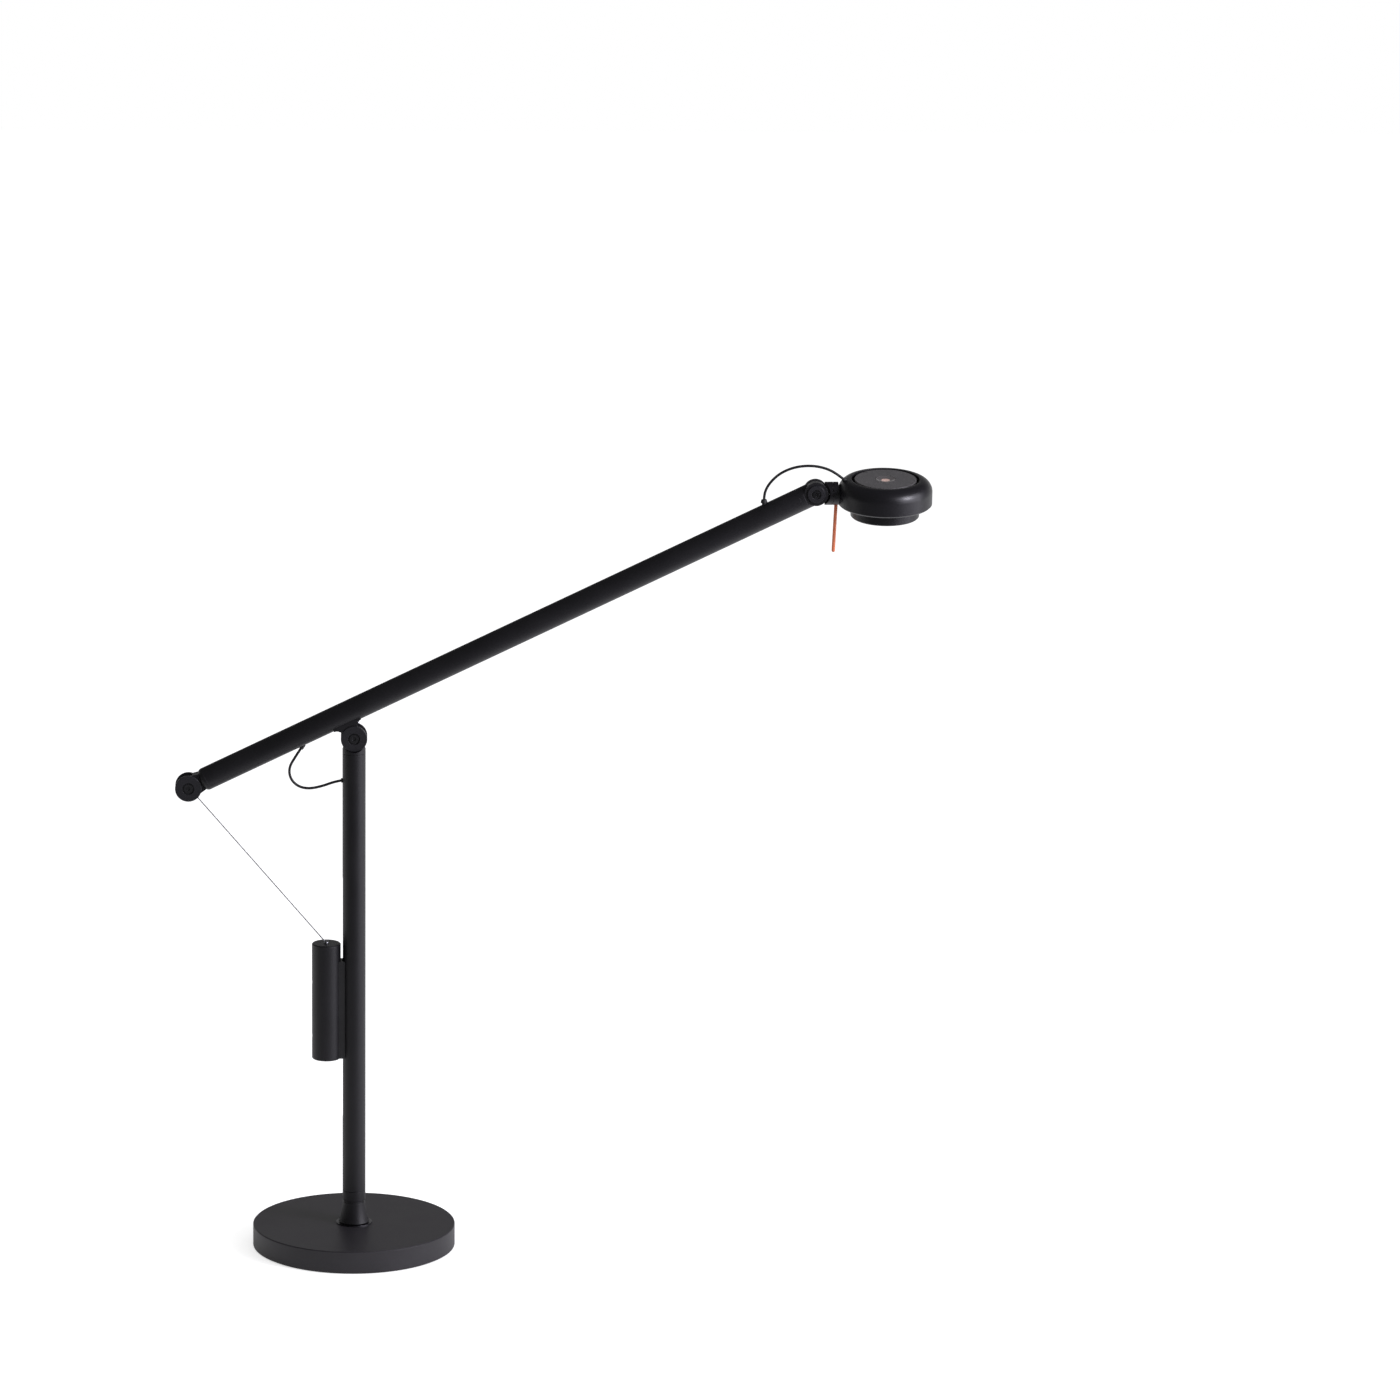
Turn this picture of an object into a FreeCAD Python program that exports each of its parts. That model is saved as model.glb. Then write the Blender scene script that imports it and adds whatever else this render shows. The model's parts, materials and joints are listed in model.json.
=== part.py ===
import FreeCAD, Part
import math
import os

# Counterweight balance desk lamp, in millimetres.
# The origin is the centre of the base's underside, +Z is up and +X is the way the arm points.
# The arm lies in the XZ-plane. Arm pieces are drawn level, with the tilt pivot at (0, 0), and then turned
# to the arm's slope. Head pieces are drawn level about the neck's axis and then rolled a little.

# ---- base
BASE_D = 176.0
BASE_TOP_Z = 20.0
BASE_WALL = 2.0
RIM_WALL = 3.0
BASE_EDGE = 0.7
PAD_T = 1.0
PAD_INSET = 2.0
BALLAST_GAP = 0.5
CHANNEL_W = 8.0
CHANNEL_TOP_Z = 12.0
GLAND_R = 4.2
GLAND_BORE_R = 2.6
GLAND_OUT = 2.5
GLAND_IN = 7.0
GLAND_FLANGE = 1.2
GLAND_Z = 9.5

# ---- foot and swivel
COLLAR_RING_D = 31.0
COLLAR_RING_T = 0.8
COLLAR_FOOT_D = 26.6
COLLAR_TOP_Z = 39.6
COLLAR_LIP = 0.8
COLLAR_INSET = 0.4
COLLAR_TOP_EDGE = 0.5
COLLAR_WAIST = 1.1
COLLAR_WAIST_RISE = 1.5
SPINDLE_THREAD_R = 5.0
SPINDLE_BORE_R = 3.2
JOURNAL_R = 7.0
JOURNAL_TOP_Z = 62.0
SWIVEL_WASHER_T = 1.1
SWIVEL_WASHER_INSET = 0.8
FOOT_RING_TOP_Z = 50.0
FOOT_RING_EDGE = 0.4
BUSH_WALL = 0.7
BUSH_TOP_Z = 58.0
CLIP_T = 1.0
CLIP_LIFT = 0.2
CLIP_GROOVE = 0.7
NUT_FLATS = 17.0
NUT_T = 5.0
NUT_LIFT = 1.0
NUT_ROOM = 4.0

# ---- post
POST_D = 20.0
POST_WALL = 1.5
PIVOT_Z = 456.0
POST_FORK_L = 14.0
POST_SHOULDER_L = 6.0
POST_FORK_EDGE = 0.3
POST_FORK_FLOOR = 1.6
SLOT_W = 4.2
SLOT_BOTTOM_Z = 116.0
SLOT_TOP_BELOW_PIVOT = 124.0
SPIGOT_L = 12.0

# ---- knuckles of the tilt joint and of the arm's rear end
KNUCKLE_D = 22.8
DISC_T = 2.2
EAR_T = 2.6
WASHER_T = 0.4
TONGUE_T = 5.0
EAR_INSET = 1.4
TONGUE_INSET = 1.2
WASHER_INSET = 1.5
KNUCKLE_CLEAR = 0.3
PIVOT_PIN_R = 3.0
DISC_RECESS_R = 5.2
DISC_RECESS_T = 1.2
SCREW_R = 1.5
SCREW_HEAD_R = 3.9
SCREW_HEAD_T = 0.9
SCREW_TIP_Y = -1.0
SOCKET_FLATS = 3.2
SOCKET_FLOOR = 0.2
DISC_EDGE = 0.4

# ---- arm
ARM_SLOPE = 25.8
ARM_TUBE_D = 20.0
ARM_WALL = 1.2
KNUCKLE_TO_TUBE = 1.0
REAR_REACH = 147.5
HEAD_REACH = 449.7
REAR_FITTING_L = 17.5
REAR_SHOULDER_L = 5.0
REAR_SHOULDER_R = 4.2
REAR_EAR_TAPER = 2.5
REAR_SLOT_ROOM = 1.0
WIRE_NOTCH_TOP = -4.2
WIRE_NOTCH_END = 1.5
HEAD_FITTING_L = 14.4
SADDLE_L = 25.6
SADDLE_NECK_W = 13.6
SADDLE_W = 14.0
SADDLE_FILLET_R = 6.0
SADDLE_SEAT_RISE = 0.5
SADDLE_SIDE_RISE = 3.6
SADDLE_SCREW_U = 8.6
SADDLE_SCREW_DEPTH = 2.8
SADDLE_SCREW_HEAD_R = 2.2
SADDLE_SCREW_HEAD_T = 1.6

# ---- counterweight, its wire and its guide
WEIGHT_D = 25.0
WEIGHT_L = 103.4
WEIGHT_GAP = 1.5
WEIGHT_EDGE = 0.8
WIRE_D = 1.0
WIRE_L = 183.0
DRUM_R = 7.0
DRUM_HOLE_START = 4.5
STOP_R = 2.0
SHOE_W = 13.2
SHOE_FLANK_GAP = 0.2
SHOE_L = 87.0
SHOE_RISE = 1.0
KEY_SIDE_GAP = 0.2
KEY_HEAD_W = 9.0
KEY_HEAD_T = 3.4
KEY_HEAD_L = 75.0
CARRIAGE_SCREW_SPAN = 48.0
CARRIAGE_SCREW_R = 1.25
CARRIAGE_SCREW_HEAD_R = 2.3
CARRIAGE_SCREW_HEAD_T = 2.2
CARRIAGE_SCREW_SINK = 5.0
CARRIAGE_SCREW_WALL = 0.6

# ---- head joint and neck
HEAD_KNUCKLE_R = 10.2
HEAD_KNUCKLE_W = 17.2
HEAD_TONGUE_T = 7.0
HEAD_TONGUE_R = 9.6
HEAD_SLOT_ROOM = 0.8
HEAD_CAP_D = 16.0
HEAD_CAP_T = 1.4
HEAD_CAP_BEVEL = 0.7
HEAD_CAP_RECESS_R = 4.2
HEAD_CAP_FLOOR = 0.3
HEAD_SCREW_R = 2.8
NECK_SCOOP_R = 12.0
NECK_D = 20.0
NECK_L = 14.4
NECK_DROP = 0.8
NECK_ROOT_X = 7.6
ROLL_GAP = 0.4
STUD_R = 3.5
STUD_BORE_R = 2.0
STUD_HEAD_R = 4.6
STUD_HEAD_T = 1.6
STUD_THREAD_L = 3.4
SLEEVE_L = 4.3
SLEEVE_SPIGOT_IN = 2.2
SLEEVE_SPIGOT_R = 7.0
HANDLE_D = 3.0
HANDLE_L = 43.0
HANDLE_FROM_SLEEVE = 2.8
HANDLE_IN = 3.0
HANDLE_LEAN = 1.6

# ---- head
HEAD_ROLL = 6.0
HEAD_D = 81.0
HEAD_TOP = 13.0
HEAD_BOTTOM = -9.5
HEAD_WALL = 2.0
HEAD_FILLET_R = 10.5
HEAD_LOWER_EDGE = 1.2
TOP_LAND = 0.9
GROOVE_W = 2.5
TOP_PLATE_T = 2.5
TOP_PLATE_EDGE = 0.4
BUTTON_R = 8.7
BUTTON_T = 2.6
BUTTON_GAP = 0.25
BUTTON_RIM = 0.5
BUTTON_EDGE = 0.2
BUTTON_STEM_R = 3.0
BUTTON_STEM_L = 1.2
BUTTON_DISH = 1.3
BUTTON_TRAVEL = 0.8
INLAY_R = 3.7
INLAY_T = 0.6
SWITCH_R = 5.0
LENS_STEP = 11.0
LENS_BOTTOM = -20.2
LENS_WALL = 1.6
LENS_LIP = 2.2
LENS_LIP_T = 1.2
LENS_EDGE = 0.8
DIFFUSER_T = 1.6
SINK_EDGE_ROOM = 3.1
SINK_T = 2.4
SINK_HUB_R = 12.5
SINK_HUB_WALL = 2.0
SINK_FINS = 10
SINK_FIN_T = 1.6
SINK_FIN_H = 6.0
BOARD_T = 1.6
BOARD_INSET = 2.5
REFLECTOR_T = 1.2
REFLECTOR_FLARE = 7.0
REFLECTOR_RIM = 1.0
HOUSING_SCREW_R = 1.25
HOUSING_SCREW_HEAD_R = 2.3
HOUSING_SCREW_HEAD_T = 1.4
HOUSING_SCREW_IN = 1.4
HOUSING_SCREW_ANGLE = 15.0

# ---- cable and general clearances
CABLE_D = 2.3
CABLE_BEND_R = 6.0
CABLE_END_GAP = 5.0
ARM_CABLE_Y = 4.0
GROMMET_R = 2.0
GROMMET_COLLAR_R = 3.0
GROMMET_COLLAR_T = 2.6
GROMMET_COLLAR_START = 1.1
RUNNING = 0.05
SEAT = 0.1
FACE_GAP = 0.1
OVERCUT = 1.0

# Route of the lower loop, from inside the post's wall to inside the arm's wall (x, y, z).
LOWER_ROUTE = [
    (-8.9, 0.0, 417.9), (-16.0, 0.0, 416.9), (-28.0, 0.0, 412.4), (-39.5, 0.0, 410.2),
    (-48.9, 0.0, 412.6), (-55.2, 0.0, 419.8), (-56.0, 0.0, 429.2), (-50.6, 0.0, 438.6),
    (-43.9, 0.0, 448.9),
]
# Route of the upper loop, from inside the arm's wall over the head joint into the head.
UPPER_ROUTE = [
    (351.0, 0.0, 661.9), (350.4, 0.0, 668.9), (354.0, 0.0, 678.4), (363.2, 0.0, 688.0),
    (376.0, 0.0, 693.9), (390.6, 0.0, 695.5), (403.9, 0.0, 693.0), (413.8, -0.5, 687.7),
    (420.8, -1.2, 682.0),
]

# ---- sizes that follow from the ones above
V = FreeCAD.Vector
ORIGIN = V(0, 0, 0)
X_AXIS = V(1, 0, 0)
Y_AXIS = V(0, 1, 0)
Z_AXIS = V(0, 0, 1)
BASE_R = BASE_D / 2
POST_R = POST_D / 2
POST_BORE_R = POST_R - POST_WALL
POST_TUBE_TOP_Z = PIVOT_Z - POST_FORK_L
SLOT_TOP_Z = PIVOT_Z - SLOT_TOP_BELOW_PIVOT
COLLAR_TOP_R = POST_R - COLLAR_INSET
NUT_TOP_Z = PAD_T + NUT_LIFT + NUT_T
CLIP_Z = BUSH_TOP_Z + CLIP_LIFT
FOOT_Z = COLLAR_TOP_Z + SWIVEL_WASHER_T + FACE_GAP
SLOT_HALF = SLOT_W / 2
KNUCKLE_R = KNUCKLE_D / 2
EAR_R = KNUCKLE_R - EAR_INSET
EAR_IN_Y = TONGUE_T / 2 + WASHER_T
EAR_OUT_Y = EAR_IN_Y + EAR_T
DISC_OUT_Y = EAR_OUT_Y + DISC_T
TUBE_R = ARM_TUBE_D / 2
TUBE_BORE_R = TUBE_R - ARM_WALL
ARM_OFFSET = KNUCKLE_R + KNUCKLE_TO_TUBE + TUBE_R
REAR_TUBE_END = -REAR_REACH + REAR_FITTING_L
HEAD_TUBE_END = HEAD_REACH - HEAD_FITTING_L
WEIGHT_R = WEIGHT_D / 2
WEIGHT_X = -(POST_R + WEIGHT_GAP + WEIGHT_R)
CABLE_R = CABLE_D / 2
HEAD_R = HEAD_D / 2
SLEEVE_START = NECK_L + ROLL_GAP
HEAD_CENTRE_X = SLEEVE_START + SLEEVE_L + HEAD_R
HOUSING_INNER_X = HEAD_CENTRE_X - HEAD_R + HEAD_WALL
STUD_HEAD_X = HOUSING_INNER_X + SLEEVE_SPIGOT_IN + FACE_GAP
HEAD_EAR_IN_Y = HEAD_TONGUE_T / 2 + WASHER_T
HEAD_EAR_OUT_Y = HEAD_KNUCKLE_W / 2
LENS_R = HEAD_R - LENS_STEP
SINK_BOTTOM = HEAD_BOTTOM + HEAD_WALL
SINK_TOP = SINK_BOTTOM + SINK_T
SINK_R = HEAD_R - HEAD_WALL - SINK_EDGE_ROOM
TOP_OPENING_R = HEAD_R - HEAD_FILLET_R - TOP_LAND
PLATE_R = TOP_OPENING_R - GROOVE_W
PLATE_BOTTOM = HEAD_TOP - TOP_PLATE_T
BUTTON_UNDER = HEAD_TOP - BUTTON_T


# ---- frames
def on_arm(shape):
    """Turns a piece drawn level about the tilt pivot to the arm's slope."""
    placed = shape.copy()
    placed.rotate(ORIGIN, V(0, -1, 0), ARM_SLOPE)
    placed.translate(V(0, 0, PIVOT_Z))
    return placed


def arm_point(along, above, side=0.0):
    """World point of a point that is given along the arm and above the tilt pivot."""
    slope = math.radians(ARM_SLOPE)
    return V(
        along * math.cos(slope) - above * math.sin(slope),
        side,
        PIVOT_Z + along * math.sin(slope) + above * math.cos(slope),
    )


def along_arm(point):
    """How far along the arm a world point (x, y, z) lies."""
    slope = math.radians(ARM_SLOPE)
    return point[0] * math.cos(slope) + (point[2] - PIVOT_Z) * math.sin(slope)


REAR_PIVOT = arm_point(-REAR_REACH, ARM_OFFSET)
HEAD_PIVOT = arm_point(HEAD_REACH, ARM_OFFSET)
NECK_ORIGIN = HEAD_PIVOT - V(0, 0, NECK_DROP)


def on_neck(shape):
    """Moves a piece drawn about the neck's axis, under the head pivot, to its place."""
    placed = shape.copy()
    placed.translate(NECK_ORIGIN)
    return placed


def on_head(shape):
    """Rolls a head piece about the neck's axis and moves it to its place."""
    placed = shape.copy()
    placed.rotate(ORIGIN, X_AXIS, HEAD_ROLL)
    return on_neck(placed)


# ---- shapes
def round_z(radius, low, high, x=0.0, y=0.0):
    return Part.makeCylinder(radius, high - low, V(x, y, low), Z_AXIS)


def round_y(radius, low, high, x=0.0, z=0.0):
    return Part.makeCylinder(radius, high - low, V(x, low, z), Y_AXIS)


def round_x(radius, low, high, z=0.0, y=0.0):
    return Part.makeCylinder(radius, high - low, V(low, y, z), X_AXIS)


def block(x_span, y_span, z_span):
    size = (x_span[1] - x_span[0], y_span[1] - y_span[0], z_span[1] - z_span[0])
    return Part.makeBox(*size, V(x_span[0], y_span[0], z_span[0]))


def arc(centre, radius, start, end):
    """An outline's arc about a centre, between two angles in degrees: its middle and its end."""
    middle = math.radians((start + end) / 2)
    last = math.radians(end)
    return (
        (centre[0] + radius * math.cos(middle), centre[1] + radius * math.sin(middle)),
        (centre[0] + radius * math.cos(last), centre[1] + radius * math.sin(last)),
    )


def face_xz(start, *steps, y=0.0):
    """A flat face in the XZ-plane. A step is a corner (x, z), or an arc as its middle and end points."""
    edges = []
    here = start
    for step in steps + (start,):
        curved = isinstance(step[0], tuple)
        there = step[1] if curved else step
        if math.dist(here, there) < 1e-6:
            continue
        first = V(here[0], y, here[1])
        last = V(there[0], y, there[1])
        if curved:
            middle = V(step[0][0], y, step[0][1])
            edges.append(Part.Arc(first, middle, last).toShape())
        else:
            edges.append(Part.LineSegment(first, last).toShape())
        here = there
    return Part.Face(Part.Wire(edges))


def outward(solid):
    if solid.Volume < 0:
        solid.reverse()
    return solid


def turned(start, *steps):
    """A body of revolution about Z from its half outline (radius, z)."""
    return outward(face_xz(start, *steps).revolve(ORIGIN, Z_AXIS, 360))


def plate(half_width, start, *steps):
    """A plate whose outline lies in the XZ-plane, centred on y = 0."""
    return outward(face_xz(start, *steps, y=-half_width).extrude(V(0, 2 * half_width, 0)))


def hexagon(flats, low, high):
    """A hexagonal bar along Y."""
    corner_r = flats / math.sqrt(3)
    corners = []
    for i in range(7):
        angle = math.radians(60 * i)
        corners.append(V(corner_r * math.cos(angle), low, corner_r * math.sin(angle)))
    return outward(Part.Face(Part.makePolygon(corners)).extrude(V(0, high - low, 0)))


def both_sides(piece):
    """A piece on the -Y side of a joint and its mirror image on the +Y side."""
    return Part.makeCompound([piece, piece.mirror(ORIGIN, Y_AXIS)])


def moved(shape, x, z):
    placed = shape.copy()
    placed.translate(V(x, 0, z))
    return placed


def route_tube(name, route, radius):
    """A round tube along straight runs joined by tangent arcs; prints its arc radii and length."""
    points = [V(*p) for p in route]
    edges = []
    radii = []
    here = points[0]
    for before, corner, after in zip(points, points[1:], points[2:]):
        back = before - corner
        ahead = after - corner
        shorter = min(back.Length, ahead.Length)
        back.normalize()
        ahead.normalize()
        half_turn = (math.pi - back.getAngle(ahead)) / 2
        trim = 0.45 * shorter
        arc_r = trim / math.tan(half_turn)
        radii.append(arc_r)
        first = corner + back * trim
        last = corner + ahead * trim
        inward = back + ahead
        inward.normalize()
        middle = corner + inward * (arc_r / math.cos(half_turn) - arc_r)
        edges.append(Part.LineSegment(here, first).toShape())
        edges.append(Part.Arc(first, middle, last).toShape())
        here = last
    edges.append(Part.LineSegment(here, points[-1]).toShape())
    path = Part.Wire(edges)
    section = Part.Wire(Part.makeCircle(radius, points[0], points[1] - points[0]))
    tube = outward(path.makePipeShell([section], True, False))
    expected = math.pi * radius**2 * path.Length
    print(
        f"{name}: length {path.Length:.1f}, least arc radius {min(radii):.1f}, "
        f"volume {tube.Volume / expected:.4f} of section times length"
    )
    return tube


def route_end(route):
    """The first point of a route and the direction in which it leaves."""
    inner = V(*route[0])
    way = V(*route[1]) - inner
    return inner, way.normalize()


def end_bush(route, inside, outside):
    """The bush at a route's start, from 'inside' behind the start to 'outside' past it."""
    inner, way = route_end(route)
    start = inner - way * inside
    bush = Part.makeCylinder(GROMMET_R, inside + outside, start, way)
    return bush.cut(Part.makeCylinder(CABLE_R + SEAT, inside + outside + 2, start - way, way))


def bush_hole(route):
    """The hole in a wall that the bush at a route's start passes through."""
    inner, way = route_end(route)
    reach = 2 * GROMMET_R
    return Part.makeCylinder(GROMMET_R + RUNNING, 2 * reach, inner - way * reach, way)


# ---- knuckle pieces, drawn about a joint axis at (0, 0)
def knuckle_discs():
    rim = DISC_OUT_Y - DISC_EDGE
    disc = round_y(KNUCKLE_R, -rim, -EAR_OUT_Y)
    bevel = Part.makeCone(KNUCKLE_R - DISC_EDGE, KNUCKLE_R, DISC_EDGE, V(0, -DISC_OUT_Y, 0), Y_AXIS)
    disc = disc.fuse(bevel).removeSplitter()
    disc = disc.cut(round_y(DISC_RECESS_R, -DISC_OUT_Y - OVERCUT, -DISC_OUT_Y + DISC_RECESS_T))
    disc = disc.cut(round_y(SCREW_R + RUNNING, -DISC_OUT_Y, 0))
    return both_sides(disc)


def socket_screws(seat_y, head_r):
    """Two socket screws, one from each side, their heads standing outwards from seat_y."""
    head = round_y(head_r, -seat_y - SCREW_HEAD_T, -seat_y)
    screw = head.fuse(round_y(SCREW_R, -seat_y, SCREW_TIP_Y))
    socket = hexagon(SOCKET_FLATS, -seat_y - SCREW_HEAD_T - OVERCUT, -seat_y - SOCKET_FLOOR)
    return both_sides(screw.cut(socket))


def knuckle_screws():
    return socket_screws(DISC_OUT_Y - DISC_RECESS_T, SCREW_HEAD_R)


def pivot_pin(half_length):
    pin = round_y(PIVOT_PIN_R, -half_length, half_length)
    return pin.cut(round_y(SCREW_R + RUNNING, -half_length - OVERCUT, half_length + OVERCUT))


def friction_washers(radius, tongue_half):
    washer = round_y(radius, -tongue_half - WASHER_T, -tongue_half - RUNNING)
    return both_sides(washer.cut(round_y(PIVOT_PIN_R + RUNNING, -tongue_half - WASHER_T - OVERCUT, 0)))


# ---- base
def make_base_cover():
    inner_r = BASE_R - RIM_WALL
    shell = turned(
        (SPINDLE_THREAD_R + SEAT, BASE_TOP_Z - BASE_WALL),
        (SPINDLE_THREAD_R + SEAT, BASE_TOP_Z),
        (BASE_R - BASE_EDGE, BASE_TOP_Z),
        (BASE_R, BASE_TOP_Z - BASE_EDGE),
        (BASE_R, PAD_T),
        (inner_r, PAD_T),
        (inner_r, BASE_TOP_Z - BASE_WALL),
    )
    return shell.cut(round_y(GLAND_R + RUNNING, 0, BASE_R + OVERCUT, 0, GLAND_Z))


def make_base_ballast():
    """Cast disc, held by the central nut, with a recess for the nut and a channel for the mains lead."""
    ballast = round_z(BASE_R - RIM_WALL - BALLAST_GAP, PAD_T, BASE_TOP_Z - BASE_WALL)
    ballast = ballast.cut(round_z(SPINDLE_THREAD_R + SEAT, 0, BASE_TOP_Z))
    ballast = ballast.cut(round_z(NUT_FLATS / 2 + NUT_ROOM, 0, NUT_TOP_Z))
    channel = block((-CHANNEL_W / 2, CHANNEL_W / 2), (0, BASE_R), (0, CHANNEL_TOP_Z))
    gland_pocket = round_y(GLAND_R + OVERCUT, BASE_R - GLAND_IN - OVERCUT, BASE_R, 0, GLAND_Z)
    return ballast.cut(channel).cut(gland_pocket)


def make_cord_gland():
    inner_end = BASE_R - GLAND_IN
    flange_y = BASE_R + FACE_GAP
    bush = round_y(GLAND_R, inner_end, BASE_R + GLAND_OUT, 0, GLAND_Z)
    flange = round_y(GLAND_R + GLAND_FLANGE, flange_y, flange_y + GLAND_FLANGE, 0, GLAND_Z)
    bore = round_y(GLAND_BORE_R, inner_end - OVERCUT, BASE_R + GLAND_OUT + OVERCUT, 0, GLAND_Z)
    return bush.fuse(flange).cut(bore)


def make_base_collar():
    foot_z = BASE_TOP_Z + COLLAR_RING_T
    foot_r = COLLAR_FOOT_D / 2
    waist = (COLLAR_TOP_R + COLLAR_WAIST, (foot_z + COLLAR_TOP_Z) / 2 + COLLAR_WAIST_RISE)
    return turned(
        (SPINDLE_THREAD_R + SEAT, foot_z),
        (foot_r - COLLAR_LIP, foot_z),
        (foot_r, foot_z + COLLAR_LIP),
        (waist, (COLLAR_TOP_R, COLLAR_TOP_Z - COLLAR_TOP_EDGE)),
        (COLLAR_TOP_R - COLLAR_TOP_EDGE, COLLAR_TOP_Z),
        (SPINDLE_THREAD_R + SEAT, COLLAR_TOP_Z),
    )


def make_swivel_spindle():
    bottom_z = PAD_T + NUT_LIFT
    groove_r = JOURNAL_R - CLIP_GROOVE
    return turned(
        (SPINDLE_BORE_R, bottom_z),
        (SPINDLE_THREAD_R, bottom_z),
        (SPINDLE_THREAD_R, COLLAR_TOP_Z),
        (JOURNAL_R, COLLAR_TOP_Z),
        (JOURNAL_R, CLIP_Z),
        (groove_r, CLIP_Z),
        (groove_r, CLIP_Z + CLIP_T + SEAT),
        (JOURNAL_R, CLIP_Z + CLIP_T + SEAT),
        (JOURNAL_R, JOURNAL_TOP_Z),
        (SPINDLE_BORE_R, JOURNAL_TOP_Z),
    )


def make_spindle_nut():
    nut = hexagon(NUT_FLATS, -NUT_T, 0)
    nut.rotate(ORIGIN, X_AXIS, -90)
    nut.translate(V(0, 0, NUT_TOP_Z - NUT_T))
    return nut.cut(round_z(SPINDLE_THREAD_R + RUNNING, 0, BASE_TOP_Z))


def ring(outer_r, inner_r, low, high):
    return round_z(outer_r, low, high).cut(round_z(inner_r, low - OVERCUT, high + OVERCUT))


def make_foot_ring():
    bore = JOURNAL_R + RUNNING + BUSH_WALL + RUNNING
    return turned(
        (bore, FOOT_Z),
        (POST_R - FOOT_RING_EDGE, FOOT_Z),
        (POST_R, FOOT_Z + FOOT_RING_EDGE),
        (POST_R, FOOT_RING_TOP_Z - FOOT_RING_EDGE),
        (POST_R - FOOT_RING_EDGE, FOOT_RING_TOP_Z),
        (POST_BORE_R - SEAT, FOOT_RING_TOP_Z),
        (POST_BORE_R - SEAT, BUSH_TOP_Z),
        (bore, BUSH_TOP_Z),
    )


# ---- post
def make_post_tube():
    tube = ring(POST_R, POST_BORE_R, FOOT_RING_TOP_Z, POST_TUBE_TOP_Z)
    ends = (SLOT_BOTTOM_Z + SLOT_HALF, SLOT_TOP_Z - SLOT_HALF)
    slot = block((-POST_R - OVERCUT, 0), (-SLOT_HALF, SLOT_HALF), ends)
    for end_z in ends:
        slot = slot.fuse(round_x(SLOT_HALF, -POST_R - OVERCUT, 0, end_z))
    tube = tube.cut(slot)
    return tube.cut(bush_hole(LOWER_ROUTE))


def fork_blank(half_width, end_z):
    """Outline of an ear that comes up from below a joint axis: straight sides and a round end."""
    return plate(
        half_width,
        (-EAR_R, end_z),
        (-EAR_R, 0),
        arc((0, 0), EAR_R, 180, 0),
        (EAR_R, end_z),
    )


def make_post_top_fork():
    low = POST_TUBE_TOP_Z - PIVOT_Z
    shoulder = low + POST_SHOULDER_L
    spigot = round_z(POST_BORE_R - SEAT, low - SPIGOT_L, low)
    head = turned(
        (0, low),
        (POST_R - POST_FORK_EDGE, low),
        (POST_R, low + POST_FORK_EDGE),
        (POST_R, shoulder),
        (0, shoulder),
    )
    ears = fork_blank(EAR_OUT_Y, low + OVERCUT)
    fork = spigot.fuse(head).fuse(ears.common(round_z(POST_R, low, KNUCKLE_R)))
    fork = fork.cut(round_y(KNUCKLE_R + KNUCKLE_CLEAR, -POST_R - OVERCUT, -EAR_OUT_Y))
    fork = fork.cut(round_y(KNUCKLE_R + KNUCKLE_CLEAR, EAR_OUT_Y, POST_R + OVERCUT))
    slot_floor = -KNUCKLE_R + POST_FORK_FLOOR
    fork = fork.cut(block((-KNUCKLE_R, KNUCKLE_R), (-EAR_IN_Y, EAR_IN_Y), (slot_floor, KNUCKLE_R)))
    fork = fork.cut(round_y(PIVOT_PIN_R + RUNNING, -POST_R, POST_R))
    return moved(fork.removeSplitter(), 0, PIVOT_Z)


# ---- arm
def arm_tube_bar(radius, low, high):
    return round_x(radius, low, high, ARM_OFFSET)


def make_arm_saddle():
    neck_half = SADDLE_NECK_W / 2
    half = SADDLE_L / 2
    seat_z = ARM_OFFSET - TUBE_R + SADDLE_SEAT_RISE
    fillet_z = seat_z - SADDLE_FILLET_R
    run_out = half - neck_half - SADDLE_FILLET_R
    side_z = ARM_OFFSET - TUBE_R + SADDLE_SIDE_RISE

    def flanked(half_width, bottom_z):
        return plate(
            half_width,
            (-neck_half, bottom_z),
            (-neck_half, fillet_z),
            arc((-neck_half - SADDLE_FILLET_R, fillet_z), SADDLE_FILLET_R, 0, 90),
            (-neck_half - SADDLE_FILLET_R - run_out, seat_z),
            (-half, side_z),
            (half, side_z),
            (neck_half + SADDLE_FILLET_R + run_out, seat_z),
            (neck_half + SADDLE_FILLET_R, seat_z),
            arc((neck_half + SADDLE_FILLET_R, fillet_z), SADDLE_FILLET_R, 90, 180),
            (neck_half, bottom_z),
        )

    tongue_half = TONGUE_T / 2
    seat = flanked(SADDLE_W / 2, 0).cut(round_y(KNUCKLE_R + KNUCKLE_CLEAR, -SADDLE_W, SADDLE_W))
    web = flanked(tongue_half, 0).fuse(round_y(EAR_R - TONGUE_INSET, -tongue_half, tongue_half))
    saddle = seat.fuse(web).cut(arm_tube_bar(TUBE_R, -SADDLE_L, SADDLE_L))
    saddle = saddle.cut(round_y(PIVOT_PIN_R + RUNNING, -SADDLE_W, SADDLE_W))
    hole_floor = ARM_OFFSET - TUBE_R - SADDLE_SCREW_DEPTH - SEAT
    for along in (-SADDLE_SCREW_U, SADDLE_SCREW_U):
        saddle = saddle.cut(round_z(CARRIAGE_SCREW_R + RUNNING, hole_floor, ARM_OFFSET, along))
    return on_arm(saddle.removeSplitter())


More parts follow.
